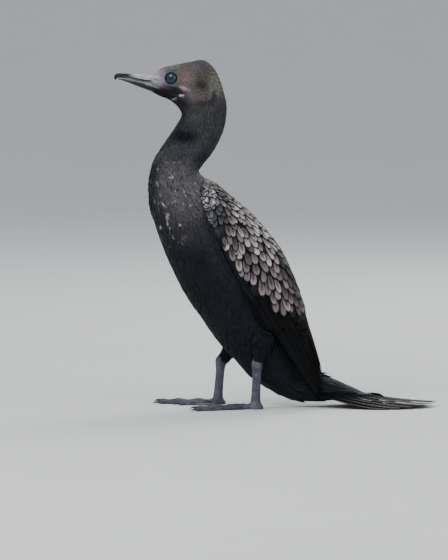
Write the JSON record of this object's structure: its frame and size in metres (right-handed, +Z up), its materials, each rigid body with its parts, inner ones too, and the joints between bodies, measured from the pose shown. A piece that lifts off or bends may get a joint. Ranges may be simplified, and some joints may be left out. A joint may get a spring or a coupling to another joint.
{
  "type": "cormorant",
  "caption": "Life-size standing cormorant, upright and looking to one side, with folded scaly wings, webbed feet flat on the floor and a stiff graduated tail laid behind.",
  "frame": {"origin": "middle of the footprint, on the floor under the soles", "axes": "+Z up, -X towards the bill, -Y towards the bird's left side"},
  "size_m": [0.3418, 0.1196, 0.3649],
  "materials": {
    "head_feathers": "matte brown-grey feathers",
    "body_feathers": "soft black feathers with a faint blue-green gloss",
    "wing_feathers": "silvery brown feathers edged with black",
    "tail_feathers": "stiff black feathers",
    "bill": "dark horn",
    "eye": "wet teal eye",
    "leg_skin": "dark slate scaled skin and web"
  },
  "bodies": {
    "root": {"head": "head_feathers", "bill_upper": "bill", "bill_lower": "bill", "eye_left": "eye", "eye_right": "eye", "neck_upper": "body_feathers", "neck_lower": "body_feathers", "torso": "body_feathers", "wing_left": "wing_feathers", "wing_right": "wing_feathers", "tail": "tail_feathers", "thigh_left": "body_feathers", "thigh_right": "body_feathers", "shank_left": "leg_skin", "shank_right": "leg_skin", "foot_left": "leg_skin", "foot_right": "leg_skin"}
  },
  "joints": []
}
